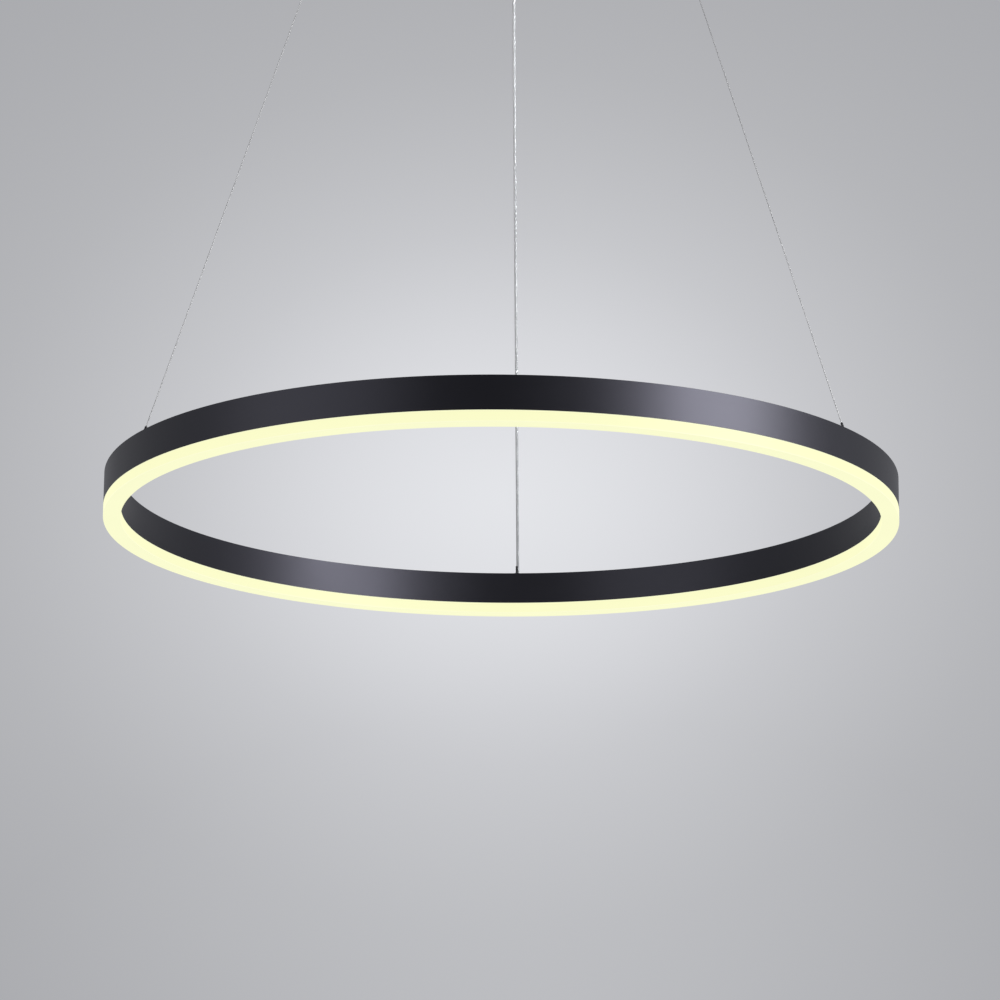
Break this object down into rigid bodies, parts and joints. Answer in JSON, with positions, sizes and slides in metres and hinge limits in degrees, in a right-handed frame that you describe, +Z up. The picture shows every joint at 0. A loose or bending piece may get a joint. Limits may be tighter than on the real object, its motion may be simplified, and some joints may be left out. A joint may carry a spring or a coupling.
{
  "type": "pendant ring light",
  "caption": "A slim glowing ring that hangs level from a round ceiling canopy on thin leaning wires and can be raised or lowered through cable grippers",
  "frame": {"origin": "on the ceiling plane, at the middle of the mounting bracket and of its two slots", "axes": "+Z up out of the ceiling face, the ring hangs towards -Z; +Y towards the rear wire and the power cord; +X along the bracket"},
  "size_m": [0.8, 0.8, 1.023],
  "materials": {
    "satin_black": "satin black powder coat",
    "milky_acrylic": "milky acrylic, lit from inside",
    "steel_rope": "fine steel rope",
    "clear_sheath": "clear cord sheath over tinned cores",
    "blackened_brass": "blackened metal",
    "nickel": "satin nickel plating",
    "zinc_steel": "zinc plated steel",
    "spring_steel": "drawn wire",
    "brass": "turned brass",
    "black_rubber": "matt",
    "grey_foam": "foam with adhesive",
    "black_nylon": "moulded",
    "white_plastic": "moulded",
    "clear_nylon": "moulded, slightly cloudy",
    "strip_white": "white solder mask",
    "phosphor": "phosphor over light chips",
    "board_green": "printed circuit board",
    "ferrite": "ferrite and tape",
    "capacitor_sleeve": "shrunk sleeve",
    "lead_sheath": "flexible insulation",
    "earth_sheath": "flexible insulation"
  },
  "bodies": {
    "canopy": {"block_screw": "zinc_steel", "board_posts": "white_plastic", "canopy_cup": "satin_black", "canopy_side_screws": "blackened_brass", "cord_gland": "black_nylon", "cord_inner": "clear_sheath", "driver_board": "board_green", "driver_capacitors": "capacitor_sleeve", "driver_case": "white_plastic", "driver_choke": "ferrite", "driver_lid": "white_plastic", "driver_pad": "grey_foam", "driver_transformer": "ferrite", "earth_lead": "earth_sheath", "earth_lug": "brass", "earth_screw": "zinc_steel", "gland_nut": "black_nylon", "gripper_barrel_left": "nickel", "gripper_barrel_rear": "nickel", "gripper_barrel_right": "nickel", "gripper_cap_left": "nickel", "gripper_cap_rear": "nickel", "gripper_cap_right": "nickel", "gripper_nuts": "nickel", "gripper_spring_left": "spring_steel", "gripper_spring_rear": "spring_steel", "gripper_spring_right": "spring_steel", "mains_leads": "lead_sheath", "mounting_bracket": "zinc_steel", "output_lead": "clear_sheath", "plug": "black_nylon", "plug_socket": "black_nylon", "power_cord": "clear_sheath", "terminal_barrels": "brass", "terminal_block": "clear_nylon", "terminal_screws": "zinc_steel", "wire_left": "steel_rope", "wire_rear": "steel_rope", "wire_right": "steel_rope", "wire_tails": "steel_rope"},
    "ring": {"ring_casing": "satin_black", "joint_plate": "zinc_steel", "joint_set_screws": "zinc_steel", "light_strip": "strip_white", "light_chips": "phosphor", "diffuser": "milky_acrylic", "anchor_studs": "blackened_brass", "anchor_washers": "zinc_steel", "anchor_nuts": "zinc_steel", "wire_ferrules": "blackened_brass", "cord_grommet": "black_rubber", "strip_lead": "clear_sheath"},
    "press_rear": {"plunger_rear": "nickel", "grip_balls_rear": "zinc_steel"},
    "press_left": {"plunger_left": "nickel", "grip_balls_left": "zinc_steel"},
    "press_right": {"plunger_right": "nickel", "grip_balls_right": "zinc_steel"}
  },
  "joints": [
    {"name": "ring_height", "type": "slide", "parent": "canopy", "child": "ring", "axis": [0, 0, 1], "range_m": [0, 0.5], "deforming": ["wire_rear", "wire_left", "wire_right", "power_cord"]},
    {"name": "press_rear", "type": "slide", "parent": "canopy", "child": "press_rear", "axis": [0, 0, 1], "range_m": [0, 0.0025], "stiffness_N_per_m": 600, "springref_m": -0.0005, "deforming": ["gripper_spring_rear"]},
    {"name": "press_left", "type": "slide", "parent": "canopy", "child": "press_left", "axis": [0, 0, 1], "range_m": [0, 0.0025], "stiffness_N_per_m": 600, "springref_m": -0.0005, "deforming": ["gripper_spring_left"]},
    {"name": "press_right", "type": "slide", "parent": "canopy", "child": "press_right", "axis": [0, 0, 1], "range_m": [0, 0.0025], "stiffness_N_per_m": 600, "springref_m": -0.0005, "deforming": ["gripper_spring_right"]}
  ]
}
